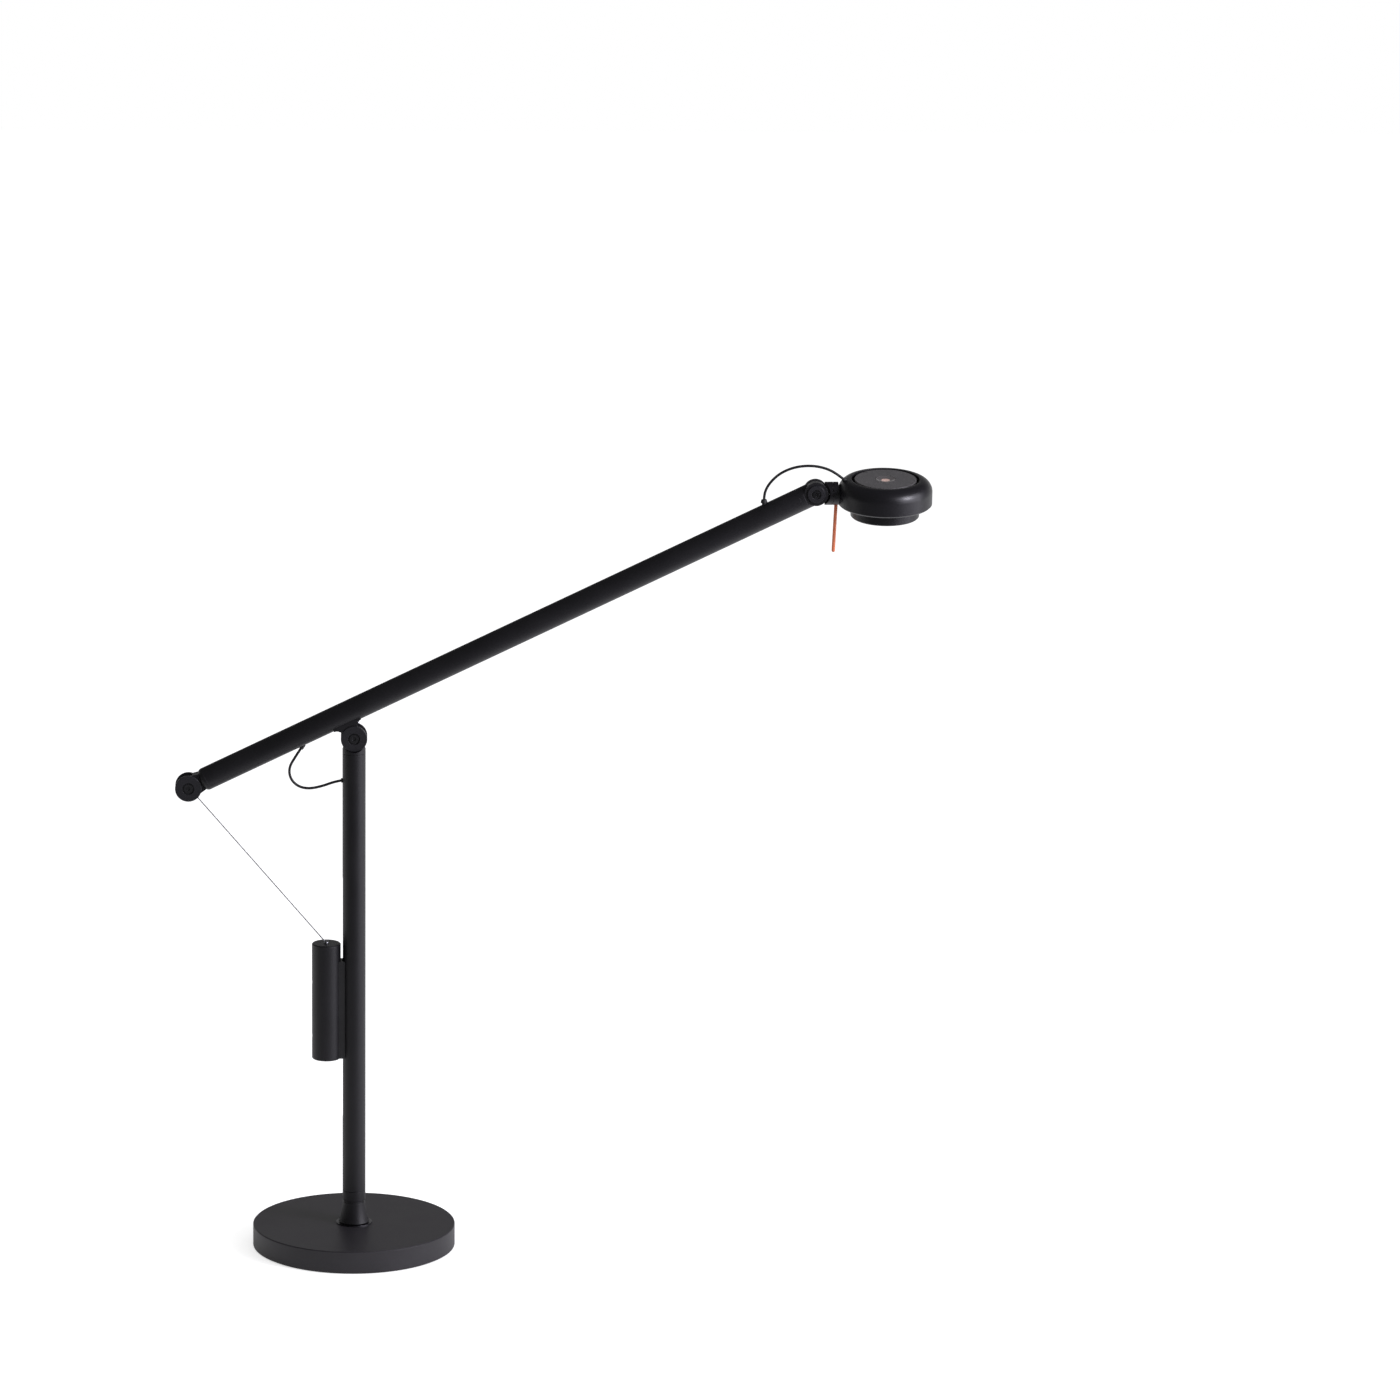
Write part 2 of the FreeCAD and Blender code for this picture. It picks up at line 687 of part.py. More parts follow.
def make_saddle_screws():
    screws = []
    seat_z = ARM_OFFSET - math.sqrt(TUBE_BORE_R**2 - SADDLE_SCREW_HEAD_R**2) + RUNNING
    tip_z = ARM_OFFSET - TUBE_R - SADDLE_SCREW_DEPTH
    for along in (-SADDLE_SCREW_U, SADDLE_SCREW_U):
        head = round_z(SADDLE_SCREW_HEAD_R, seat_z, seat_z + SADDLE_SCREW_HEAD_T, along)
        screws.append(head.fuse(round_z(CARRIAGE_SCREW_R, tip_z, seat_z, along)))
    return on_arm(Part.makeCompound(screws))


def make_arm_tube():
    tube = arm_tube_bar(TUBE_R, REAR_TUBE_END, HEAD_TUBE_END)
    tube = tube.cut(arm_tube_bar(TUBE_BORE_R, REAR_TUBE_END - OVERCUT, HEAD_TUBE_END + OVERCUT))
    for along in (-SADDLE_SCREW_U, SADDLE_SCREW_U):
        tube = tube.cut(round_z(CARRIAGE_SCREW_R + RUNNING, ARM_OFFSET - TUBE_R - OVERCUT, ARM_OFFSET, along))
    tube = on_arm(tube)
    return tube.cut(bush_hole(LOWER_ROUTE[::-1])).cut(bush_hole(UPPER_ROUTE))


def make_arm_rear_fork():
    """Drawn with its joint axis at (0, 0) and its tube towards +X."""
    tube_end = REAR_FITTING_L
    front = tube_end - REAR_SHOULDER_L
    shoulder = turned(
        (0, front),
        (TUBE_R - REAR_SHOULDER_R, front),
        arc((TUBE_R - REAR_SHOULDER_R, front + REAR_SHOULDER_R), REAR_SHOULDER_R, -90, 0),
        (TUBE_R, tube_end),
        (0, tube_end),
    )
    spigot = round_z(TUBE_BORE_R - SEAT, tube_end, tube_end + SPIGOT_L)
    body = shoulder.fuse(spigot)
    body.rotate(ORIGIN, Y_AXIS, 90)
    ears = plate(
        EAR_OUT_Y,
        (0, EAR_R),
        arc((0, 0), EAR_R, 90, 270),
        (front + OVERCUT, -EAR_R + REAR_EAR_TAPER),
        (front + OVERCUT, EAR_R - REAR_EAR_TAPER),
    )
    fork = body.fuse(ears)
    fork = fork.cut(round_y(KNUCKLE_R + KNUCKLE_CLEAR, -TUBE_R - OVERCUT, -EAR_OUT_Y))
    fork = fork.cut(round_y(KNUCKLE_R + KNUCKLE_CLEAR, EAR_OUT_Y, TUBE_R + OVERCUT))
    slot_end = DRUM_R + REAR_SLOT_ROOM
    fork = fork.cut(block((-KNUCKLE_R, slot_end), (-EAR_IN_Y, EAR_IN_Y), (-KNUCKLE_R, KNUCKLE_R)))
    notch = plate(
        WIRE_D,
        (slot_end - OVERCUT, WIRE_NOTCH_TOP),
        (tube_end - WIRE_NOTCH_END, -TUBE_R - OVERCUT),
        (slot_end - OVERCUT, -TUBE_R - OVERCUT),
    )
    fork = fork.cut(notch).cut(round_y(PIVOT_PIN_R + RUNNING, -TUBE_R, TUBE_R))
    return on_arm(moved(fork.removeSplitter(), -REAR_REACH, ARM_OFFSET))


def make_arm_head_fork():
    """Drawn with its joint axis at (0, 0) and its tube towards -X."""
    tube_end = -HEAD_FITTING_L
    body = round_x(TUBE_R, tube_end, 0).fuse(round_x(TUBE_BORE_R - SEAT, tube_end - SPIGOT_L, tube_end))
    flanks = block((-HEAD_KNUCKLE_R, 0), (-HEAD_EAR_OUT_Y, HEAD_EAR_OUT_Y), (-TUBE_R, TUBE_R))
    fork = body.common(flanks.fuse(round_x(TUBE_R, tube_end - SPIGOT_L, -HEAD_KNUCKLE_R)))
    fork = fork.fuse(round_y(HEAD_KNUCKLE_R, -HEAD_EAR_OUT_Y, HEAD_EAR_OUT_Y))
    slot = round_y(HEAD_TONGUE_R + HEAD_SLOT_ROOM, -HEAD_EAR_IN_Y, HEAD_EAR_IN_Y)
    reach = HEAD_KNUCKLE_R + OVERCUT
    slot = slot.fuse(block((0, reach), (-HEAD_EAR_IN_Y, HEAD_EAR_IN_Y), (-reach, reach)))
    fork = fork.cut(slot).cut(round_y(PIVOT_PIN_R + RUNNING, -TUBE_R, TUBE_R))
    return on_arm(moved(fork.removeSplitter(), HEAD_REACH, ARM_OFFSET))


def make_head_caps():
    outer_y = HEAD_EAR_OUT_Y + HEAD_CAP_T
    cap_r = HEAD_CAP_D / 2
    cap = Part.makeCone(cap_r - HEAD_CAP_BEVEL, cap_r, HEAD_CAP_T, V(0, -outer_y, 0), Y_AXIS)
    cap = cap.cut(round_y(HEAD_CAP_RECESS_R, -outer_y - OVERCUT, -HEAD_EAR_OUT_Y - HEAD_CAP_FLOOR))
    return both_sides(cap.cut(round_y(SCREW_R + RUNNING, -outer_y, 0)))


def at_rear(shape):
    return on_arm(moved(shape, -REAR_REACH, ARM_OFFSET))


def at_head_joint(shape):
    return on_arm(moved(shape, HEAD_REACH, ARM_OFFSET))


# ---- balance gear
def wire_line():
    """The wire's swivel centre, its direction and the centre of its stop in the weight's top."""
    sideways = WEIGHT_X - REAR_PIVOT.x
    drop = math.sqrt(WIRE_L**2 - sideways**2)
    stop = V(WEIGHT_X, 0, REAR_PIVOT.z - drop)
    way = stop - REAR_PIVOT
    way.normalize()
    return way, stop


WIRE_WAY, WIRE_STOP = wire_line()
WEIGHT_TOP_Z = WIRE_STOP.z
WEIGHT_BOTTOM_Z = WEIGHT_TOP_Z - WEIGHT_L
SHOE_BOTTOM_Z = WEIGHT_BOTTOM_Z + SHOE_RISE
SHOE_MIDDLE_Z = SHOE_BOTTOM_Z + SHOE_L / 2
CARRIAGE_SCREW_Z = (SHOE_MIDDLE_Z - CARRIAGE_SCREW_SPAN / 2, SHOE_MIDDLE_Z + CARRIAGE_SCREW_SPAN / 2)


def make_wire_drum():
    half = TONGUE_T / 2
    drum = round_y(DRUM_R, -half, half).cut(round_y(PIVOT_PIN_R + RUNNING, -half - 1, half + 1))
    drum.translate(REAR_PIVOT)
    hole = Part.makeCylinder(WIRE_D / 2 + RUNNING, DRUM_R, REAR_PIVOT + WIRE_WAY * DRUM_HOLE_START, WIRE_WAY)
    return drum.cut(hole)


def make_balance_wire():
    start = REAR_PIVOT + WIRE_WAY * (DRUM_HOLE_START + SEAT)
    length = WIRE_L - DRUM_HOLE_START - SEAT - STOP_R - RUNNING
    return Part.makeCylinder(WIRE_D / 2, length, start, WIRE_WAY)


def carriage_screw_holes(radius, low, high):
    holes = [round_x(radius, low, high, z) for z in CARRIAGE_SCREW_Z]
    return holes[0].fuse(holes[1])


def make_counterweight():
    weight = turned(
        (0, WEIGHT_BOTTOM_Z),
        (WEIGHT_R - WEIGHT_EDGE, WEIGHT_BOTTOM_Z),
        (WEIGHT_R, WEIGHT_BOTTOM_Z + WEIGHT_EDGE),
        (WEIGHT_R, WEIGHT_TOP_Z - WEIGHT_EDGE),
        (WEIGHT_R - WEIGHT_EDGE, WEIGHT_TOP_Z),
        (STOP_R + RUNNING, WEIGHT_TOP_Z),
        (STOP_R + RUNNING, WEIGHT_TOP_Z - STOP_R - RUNNING),
        (0, WEIGHT_TOP_Z - STOP_R - RUNNING),
    )
    weight = moved(weight, WEIGHT_X, 0)
    weight = weight.cut(carriage_screw_holes(CARRIAGE_SCREW_R + RUNNING, WEIGHT_X - WEIGHT_R, 0))
    low_x = WEIGHT_X - WEIGHT_R
    sink = carriage_screw_holes(CARRIAGE_SCREW_HEAD_R + SEAT, low_x - OVERCUT, low_x + CARRIAGE_SCREW_SINK)
    return weight.cut(sink)


def make_wire_stop():
    return Part.makeSphere(STOP_R, WIRE_STOP)


def make_guide_shoe():
    """Bearing strip between the weight and the post, hollowed on both sides."""
    half = SHOE_W / 2
    low_x = WEIGHT_X + math.sqrt(WEIGHT_R**2 - half**2) - SHOE_FLANK_GAP
    high_x = -math.sqrt(POST_R**2 - half**2) - KEY_SIDE_GAP
    z_span = (SHOE_BOTTOM_Z, SHOE_BOTTOM_Z + SHOE_L)
    shoe = block((low_x, high_x), (-half, half), z_span)
    shoe = shoe.cut(round_z(POST_R + KEY_SIDE_GAP, 0, PIVOT_Z))
    shoe = shoe.cut(round_z(WEIGHT_R + RUNNING, 0, PIVOT_Z, WEIGHT_X))
    return shoe.cut(carriage_screw_holes(CARRIAGE_SCREW_R + RUNNING, WEIGHT_X, 0))


def make_slide_key():
    """Web through the post's slot and its head inside the post."""
    web_half = SLOT_HALF - KEY_SIDE_GAP
    head_half = KEY_HEAD_W / 2
    head_r = POST_BORE_R - KEY_SIDE_GAP
    shoe_face_x = -math.sqrt((POST_R + KEY_SIDE_GAP) ** 2 - web_half**2)
    z_span = (SHOE_MIDDLE_Z - KEY_HEAD_L / 2, SHOE_MIDDLE_Z + KEY_HEAD_L / 2)
    head = block((-head_r - OVERCUT, -head_r + KEY_HEAD_T), (-head_half, head_half), z_span)
    head = head.common(round_z(head_r, z_span[0], z_span[1]))
    web = block((shoe_face_x, -head_r + KEY_HEAD_T / 2), (-web_half, web_half), z_span)
    key = head.fuse(web).removeSplitter()
    hole_end = -head_r + KEY_HEAD_T - CARRIAGE_SCREW_WALL
    return key.cut(carriage_screw_holes(CARRIAGE_SCREW_R + RUNNING, WEIGHT_X, hole_end))


def make_carriage_screws():
    seat_x = WEIGHT_X - WEIGHT_R + CARRIAGE_SCREW_SINK
    tip_x = -POST_BORE_R + KEY_SIDE_GAP + KEY_HEAD_T - CARRIAGE_SCREW_WALL - SEAT
    screws = []
    for z in CARRIAGE_SCREW_Z:
        head = round_x(CARRIAGE_SCREW_HEAD_R, seat_x - CARRIAGE_SCREW_HEAD_T, seat_x, z)
        screws.append(head.fuse(round_x(CARRIAGE_SCREW_R, seat_x, tip_x, z)))
    return Part.makeCompound(screws)


# ---- neck, drawn about the neck's axis under the head pivot
def make_neck_yoke():
    half = HEAD_TONGUE_T / 2
    barrel = round_x(NECK_D / 2, 0, NECK_L)
    for low, high in ((-NECK_D, -half), (half, NECK_D)):
        barrel = barrel.cut(round_y(NECK_SCOOP_R, low, high, 0, NECK_DROP))
    tongue = round_y(HEAD_TONGUE_R, -half, half, 0, NECK_DROP)
    root = block((NECK_ROOT_X, NECK_L), (-NECK_D, NECK_D), (-NECK_D, NECK_D))
    yoke = barrel.common(root).fuse(tongue)
    yoke = yoke.cut(round_y(PIVOT_PIN_R + RUNNING, -NECK_D, NECK_D, 0, NECK_DROP))
    stud_hole = round_x(STUD_R + RUNNING, NECK_L - STUD_THREAD_L - SEAT, NECK_L + OVERCUT)
    return on_neck(yoke.cut(stud_hole).removeSplitter())


def make_roll_stud():
    low = NECK_L - STUD_THREAD_L
    high = STUD_HEAD_X + STUD_HEAD_T
    stud = round_x(STUD_R, low, STUD_HEAD_X).fuse(round_x(STUD_HEAD_R, STUD_HEAD_X, high))
    return on_neck(stud.cut(round_x(STUD_BORE_R, low - OVERCUT, high + OVERCUT)))


def make_neck_sleeve():
    sleeve = round_x(NECK_D / 2, SLEEVE_START, HEAD_CENTRE_X - HEAD_R / 2)
    sleeve = sleeve.cut(round_z(HEAD_R + RUNNING, -NECK_D, NECK_D, HEAD_CENTRE_X))
    spigot = round_x(SLEEVE_SPIGOT_R, SLEEVE_START + OVERCUT, HOUSING_INNER_X + SLEEVE_SPIGOT_IN)
    sleeve = sleeve.fuse(spigot).cut(round_x(STUD_R + RUNNING, 0, HEAD_CENTRE_X))
    return on_head(sleeve.cut(handle_socket()))


def handle_line():
    """The handle's top inside the sleeve and its rounded foot."""
    top = V(SLEEVE_START + HANDLE_FROM_SLEEVE, 0, -NECK_D / 2 + HANDLE_IN)
    foot = V(top.x - HANDLE_LEAN, 0, -NECK_D / 2 - HANDLE_L)
    return top, foot


def handle_socket():
    top, foot = handle_line()
    return Part.makeCylinder(HANDLE_D / 2 + RUNNING, HANDLE_L, top, foot - top)


def make_aiming_handle():
    top, foot = handle_line()
    way = foot - top
    rod = Part.makeCylinder(HANDLE_D / 2, way.Length - HANDLE_D / 2, top, way)
    way.normalize()
    return on_head(rod.fuse(Part.makeSphere(HANDLE_D / 2, foot - way * (HANDLE_D / 2))).removeSplitter())


# ---- head, drawn about its own axis and then moved along the neck
def at_head(shape):
    return on_head(moved(shape, HEAD_CENTRE_X, 0))


def make_head_housing():
    fillet = (HEAD_R - HEAD_FILLET_R, HEAD_TOP - HEAD_FILLET_R)
    inner_r = HEAD_R - HEAD_WALL
    inner_bevel = 0.75 * HEAD_FILLET_R
    shell = turned(
        (LENS_R + SEAT, HEAD_BOTTOM),
        (HEAD_R - HEAD_LOWER_EDGE, HEAD_BOTTOM),
        (HEAD_R, HEAD_BOTTOM + HEAD_LOWER_EDGE),
        (HEAD_R, fillet[1]),
        arc(fillet, HEAD_FILLET_R, 0, 90),
        (TOP_OPENING_R, HEAD_TOP),
        (TOP_OPENING_R, HEAD_TOP - HEAD_WALL),
        (inner_r - inner_bevel, HEAD_TOP - HEAD_WALL),
        (inner_r, HEAD_TOP - HEAD_WALL - inner_bevel),
        (inner_r, SINK_BOTTOM),
        (LENS_R + SEAT, SINK_BOTTOM),
    )
    shell = shell.cut(round_x(SLEEVE_SPIGOT_R + RUNNING, -HEAD_R - OVERCUT, -HEAD_R / 2))
    screw_floor = SINK_BOTTOM - HOUSING_SCREW_IN - SEAT
    for x, y in housing_screw_places():
        shell = shell.cut(round_z(HOUSING_SCREW_R + RUNNING, screw_floor, SINK_TOP, x, y))
    shell = at_head(shell)
    return shell.cut(bush_hole(UPPER_ROUTE[::-1]))


def housing_screw_places():
    reach = (LENS_R + SINK_R) / 2
    places = []
    for i in range(3):
        angle = math.radians(HOUSING_SCREW_ANGLE + 120 * i)
        places.append((reach * math.cos(angle), reach * math.sin(angle)))
    return places


def make_housing_screws():
    screws = []
    for x, y in housing_screw_places():
        head = round_z(HOUSING_SCREW_HEAD_R, SINK_TOP, SINK_TOP + HOUSING_SCREW_HEAD_T, x, y)
        shank = round_z(HOUSING_SCREW_R, SINK_BOTTOM - HOUSING_SCREW_IN, SINK_TOP, x, y)
        screws.append(head.fuse(shank))
    return at_head(Part.makeCompound(screws))


def make_heat_sink():
    """Base disc with radial fins and a hub that carries the top plate."""
    sink = round_z(SINK_R, SINK_BOTTOM, SINK_TOP)
    hub = ring(SINK_HUB_R, SINK_HUB_R - SINK_HUB_WALL, SINK_BOTTOM + OVERCUT, PLATE_BOTTOM)
    fin_half = SINK_FIN_T / 2
    fin_x = (SINK_HUB_R - OVERCUT, LENS_R - OVERCUT)
    fins = []
    for i in range(SINK_FINS):
        fin = block(fin_x, (-fin_half, fin_half), (SINK_TOP - OVERCUT, SINK_TOP + SINK_FIN_H))
        fin.rotate(ORIGIN, Z_AXIS, 360 * i / SINK_FINS)
        fins.append(fin)
    sink = sink.fuse([hub] + fins).removeSplitter()
    for x, y in housing_screw_places():
        sink = sink.cut(round_z(HOUSING_SCREW_R + SEAT, HEAD_BOTTOM, HEAD_TOP, x, y))
    return at_head(sink)


def make_top_plate():
    return at_head(
        turned(
            (BUTTON_R + BUTTON_GAP, PLATE_BOTTOM),
            (PLATE_R, PLATE_BOTTOM),
            (PLATE_R, HEAD_TOP - TOP_PLATE_EDGE),
            (PLATE_R - TOP_PLATE_EDGE, HEAD_TOP),
            (BUTTON_R + BUTTON_GAP, HEAD_TOP),
        )
    )


def button_bowl():
    """The ball whose underside is the button's shallow dish."""
    rim_r = BUTTON_R - BUTTON_RIM
    bowl_r = (rim_r**2 + BUTTON_DISH**2) / (2 * BUTTON_DISH)
    return Part.makeSphere(bowl_r, V(0, 0, HEAD_TOP + bowl_r - BUTTON_DISH), X_AXIS)


def inlay_disc(radius):
    return round_z(radius, HEAD_TOP - BUTTON_DISH - INLAY_T, HEAD_TOP)


def make_dimmer_button():
    """Dished button with a stem under it and a seat for the inlay."""
    button = turned(
        (0, BUTTON_UNDER - BUTTON_STEM_L),
        (BUTTON_STEM_R, BUTTON_UNDER - BUTTON_STEM_L),
        (BUTTON_STEM_R, BUTTON_UNDER),
        (BUTTON_R, BUTTON_UNDER),
        (BUTTON_R, HEAD_TOP - BUTTON_EDGE),
        (BUTTON_R - BUTTON_EDGE, HEAD_TOP),
        (0, HEAD_TOP),
    )
    return at_head(button.cut(inlay_disc(INLAY_R + RUNNING)).cut(button_bowl()))


def make_dimmer_switch():
    high = BUTTON_UNDER - BUTTON_STEM_L - BUTTON_TRAVEL - FACE_GAP
    return at_head(round_z(SWITCH_R, SINK_TOP, high))


def make_led_board():
    return at_head(round_z(LENS_R - LENS_WALL - BOARD_INSET, SINK_BOTTOM - BOARD_T, SINK_BOTTOM))


def make_reflector():
    low = LENS_BOTTOM + LENS_LIP_T + DIFFUSER_T
    high = SINK_BOTTOM - BOARD_T
    wide = LENS_R - LENS_WALL - SEAT
    narrow = wide - REFLECTOR_FLARE
    return at_head(
        turned(
            (narrow, high),
            (wide - REFLECTOR_T, low),
            (wide, low),
            (wide, low + REFLECTOR_RIM),
            (narrow + REFLECTOR_T, high),
        )
    )


def make_diffuser():
    low = LENS_BOTTOM + LENS_LIP_T
    return at_head(round_z(LENS_R - LENS_WALL - SEAT, low, low + DIFFUSER_T))


def make_lens_ring():
    bore = LENS_R - LENS_WALL
    return at_head(
        turned(
            (bore - LENS_LIP, LENS_BOTTOM),
            (LENS_R - LENS_EDGE, LENS_BOTTOM),
            (LENS_R, LENS_BOTTOM + LENS_EDGE),
            (LENS_R, SINK_BOTTOM),
            (bore, SINK_BOTTOM),
            (bore, LENS_BOTTOM + LENS_LIP_T),
            (bore - LENS_LIP, LENS_BOTTOM + LENS_LIP_T),
        )
    )


# ---- cable bushes and stretches of cable
def make_upper_grommet():
    """The one bush with a collar, which stands on the arm."""
    inner, way = route_end(UPPER_ROUTE)
    start = inner + way * GROMMET_COLLAR_START
    collar = Part.makeCone(GROMMET_COLLAR_R, GROMMET_R + 0.3, GROMMET_COLLAR_T, start, way)
    collar = collar.cut(on_arm(arm_tube_bar(TUBE_R + RUNNING, REAR_TUBE_END, HEAD_TUBE_END)))
    bore = Part.makeCylinder(CABLE_R + SEAT, 4 * GROMMET_R, inner - way * GROMMET_R, way)
    return end_bush(UPPER_ROUTE, 0.8, 3.6).fuse(collar).cut(bore)


def bent_cable(start, corner, end, bend_r):
    """A cable with one square bend."""
    first = corner + (start - corner).normalize() * bend_r
    last = corner + (end - corner).normalize() * bend_r
    inward = ((start - corner).normalize() + (end - corner).normalize()).normalize()
    middle = corner + inward * bend_r * (math.sqrt(2) - 1)
    edges = [
        Part.LineSegment(start, first).toShape(),
        Part.Arc(first, middle, last).toShape(),
        Part.LineSegment(last, end).toShape(),
    ]
    section = Part.Wire(Part.makeCircle(CABLE_R, start, corner - start))
    return outward(Part.Wire(edges).makePipeShell([section], True, False))


def make_post_cable():
    exit_point = V(*LOWER_ROUTE[0])
    top = V(0, 0, exit_point.z)
    foot = V(0, 0, JOURNAL_TOP_Z + CABLE_R)
    return bent_cable(foot, top, exit_point + V(5 * SEAT, 0, 0), CABLE_BEND_R)


def make_arm_cable():
    """The cable lies on the floor of the arm's bore, beside the saddle's screws."""
    floor = ARM_OFFSET - math.sqrt((TUBE_BORE_R - CABLE_R - RUNNING) ** 2 - ARM_CABLE_Y**2)
    start = along_arm(LOWER_ROUTE[-1]) + CABLE_END_GAP
    end = along_arm(UPPER_ROUTE[0]) - CABLE_END_GAP
    return on_arm(round_x(CABLE_R, start, end, floor, ARM_CABLE_Y))


NODES = {
    "base_cover": make_base_cover,
    "base_ballast": make_base_ballast,
    "base_pad": lambda: round_z(BASE_R - PAD_INSET, 0, PAD_T),
    "cord_gland": make_cord_gland,
    "collar_ring": lambda: ring(
        COLLAR_RING_D / 2, SPINDLE_THREAD_R + SEAT, BASE_TOP_Z, BASE_TOP_Z + COLLAR_RING_T
    ),
    "base_collar": make_base_collar,
    "swivel_spindle": make_swivel_spindle,
    "spindle_nut": make_spindle_nut,
    "swivel_washer": lambda: ring(
        POST_R - SWIVEL_WASHER_INSET, JOURNAL_R + RUNNING, COLLAR_TOP_Z, COLLAR_TOP_Z + SWIVEL_WASHER_T
    ),
    "spindle_clip": lambda: ring(
        POST_BORE_R - 5 * SEAT, JOURNAL_R - CLIP_GROOVE + RUNNING, CLIP_Z, CLIP_Z + CLIP_T
    ),
    "foot_ring": make_foot_ring,
    "swivel_bush": lambda: ring(
        JOURNAL_R + RUNNING + BUSH_WALL,
        JOURNAL_R + RUNNING,
        FOOT_Z,
        BUSH_TOP_Z,
    ),
    "post_tube": make_post_tube,
    "post_top_fork": make_post_top_fork,
    "tilt_pin": lambda: moved(pivot_pin(EAR_OUT_Y), 0, PIVOT_Z),
    "tilt_discs": lambda: moved(knuckle_discs(), 0, PIVOT_Z),
    "tilt_screws": lambda: moved(knuckle_screws(), 0, PIVOT_Z),
    "tilt_washers": lambda: moved(friction_washers(EAR_R - WASHER_INSET, TONGUE_T / 2), 0, PIVOT_Z),
    "post_grommet": lambda: end_bush(LOWER_ROUTE, 0.2, 2.3),
    "post_cable": make_post_cable,
    "lower_cable_loop": lambda: route_tube("lower_cable_loop", LOWER_ROUTE, CABLE_R),
    "arm_tube": make_arm_tube,
    "arm_saddle": make_arm_saddle,
    "saddle_screws": make_saddle_screws,
    "arm_rear_fork": make_arm_rear_fork,
    "rear_pin": lambda: at_rear(pivot_pin(EAR_OUT_Y)),
    "rear_discs": lambda: at_rear(knuckle_discs()),
    "rear_screws": lambda: at_rear(knuckle_screws()),
    "arm_head_fork": make_arm_head_fork,
    "head_pivot_pin": lambda: at_head_joint(pivot_pin(HEAD_EAR_OUT_Y)),
    "head_caps": lambda: at_head_joint(make_head_caps()),
    "head_screws": lambda: at_head_joint(socket_screws(HEAD_EAR_OUT_Y + HEAD_CAP_FLOOR, HEAD_SCREW_R)),
    "lower_grommet": lambda: end_bush(LOWER_ROUTE[::-1], 1.2, 3.4),
    "upper_grommet": make_upper_grommet,
    "arm_cable": make_arm_cable,
    "upper_cable_loop": lambda: route_tube("upper_cable_loop", UPPER_ROUTE, CABLE_R),
    "wire_drum": make_wire_drum,
    "balance_wire": make_balance_wire,
    "counterweight": make_counterweight,
    "wire_stop": make_wire_stop,
    "guide_shoe": make_guide_shoe,
    "slide_key": make_slide_key,
    "carriage_screws": make_carriage_screws,
    "neck_yoke": make_neck_yoke,
    "head_washers": lambda: at_head_joint(
        friction_washers(HEAD_TONGUE_R - WASHER_INSET, HEAD_TONGUE_T / 2)
    ),
    "roll_stud": make_roll_stud,
    "neck_sleeve": make_neck_sleeve,
    "aiming_handle": make_aiming_handle,
    "head_housing": make_head_housing,
    "top_plate": make_top_plate,
    "head_grommet": lambda: end_bush(UPPER_ROUTE[::-1], 1.0, 3.2),
    "heat_sink": make_heat_sink,
    "housing_screws": make_housing_screws,
    "led_board": make_led_board,
    "reflector": make_reflector,
    "diffuser": make_diffuser,
    "lens_ring": make_lens_ring,
    "dimmer_switch": make_dimmer_switch,
    "dimmer_button": make_dimmer_button,
    "button_inlay": lambda: at_head(inlay_disc(INLAY_R).cut(button_bowl())),
}


def main():
    os.makedirs("parts", exist_ok=True)
    for name, make in NODES.items():
        shape = make()
        if not shape.isValid() or shape.Volume <= 0:
            print(f"{name}: not a sound solid")
        shape.exportStep(f"parts/{name}.step")
    print(f"{len(NODES)} pieces; weight top {WEIGHT_TOP_Z:.1f}, rear {REAR_PIVOT}, head {HEAD_PIVOT}")


main()
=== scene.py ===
import json
import math

import bpy
from mathutils import Matrix, Vector


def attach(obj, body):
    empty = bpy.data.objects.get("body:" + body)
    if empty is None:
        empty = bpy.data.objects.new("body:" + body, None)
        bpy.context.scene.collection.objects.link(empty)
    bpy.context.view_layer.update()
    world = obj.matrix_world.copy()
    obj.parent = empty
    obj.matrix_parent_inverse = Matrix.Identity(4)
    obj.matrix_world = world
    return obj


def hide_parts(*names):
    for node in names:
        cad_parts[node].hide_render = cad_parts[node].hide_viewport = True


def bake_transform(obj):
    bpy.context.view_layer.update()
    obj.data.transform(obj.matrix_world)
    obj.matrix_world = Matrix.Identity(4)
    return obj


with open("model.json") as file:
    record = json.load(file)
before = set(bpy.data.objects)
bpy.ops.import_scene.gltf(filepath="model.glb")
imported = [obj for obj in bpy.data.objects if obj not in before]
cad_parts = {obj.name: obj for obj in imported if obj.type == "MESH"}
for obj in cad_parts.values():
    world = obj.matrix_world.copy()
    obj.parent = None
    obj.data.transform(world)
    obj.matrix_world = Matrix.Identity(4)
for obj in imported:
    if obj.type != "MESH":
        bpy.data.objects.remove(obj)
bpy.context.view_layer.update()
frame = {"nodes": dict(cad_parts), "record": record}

# Counterweight balance desk lamp. Lengths are in metres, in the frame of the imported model.
scene = bpy.context.scene
nodes = frame["nodes"]

MM = 0.001
CABLE_D = 2.3 * MM
WIRE_D = 1.0 * MM

# The routes of part.py, in millimetres.
LOWER_ROUTE = [
    (-8.9, 0.0, 417.9), (-16.0, 0.0, 416.9), (-28.0, 0.0, 412.4), (-39.5, 0.0, 410.2),
    (-48.9, 0.0, 412.6), (-55.2, 0.0, 419.8), (-56.0, 0.0, 429.2), (-50.6, 0.0, 438.6),
    (-43.9, 0.0, 448.9),
]
UPPER_ROUTE = [
    (351.0, 0.0, 661.9), (350.4, 0.0, 668.9), (354.0, 0.0, 678.4), (363.2, 0.0, 688.0),
    (376.0, 0.0, 693.9), (390.6, 0.0, 695.5), (403.9, 0.0, 693.0), (413.8, -0.5, 687.7),
    (420.8, -1.2, 682.0),
]
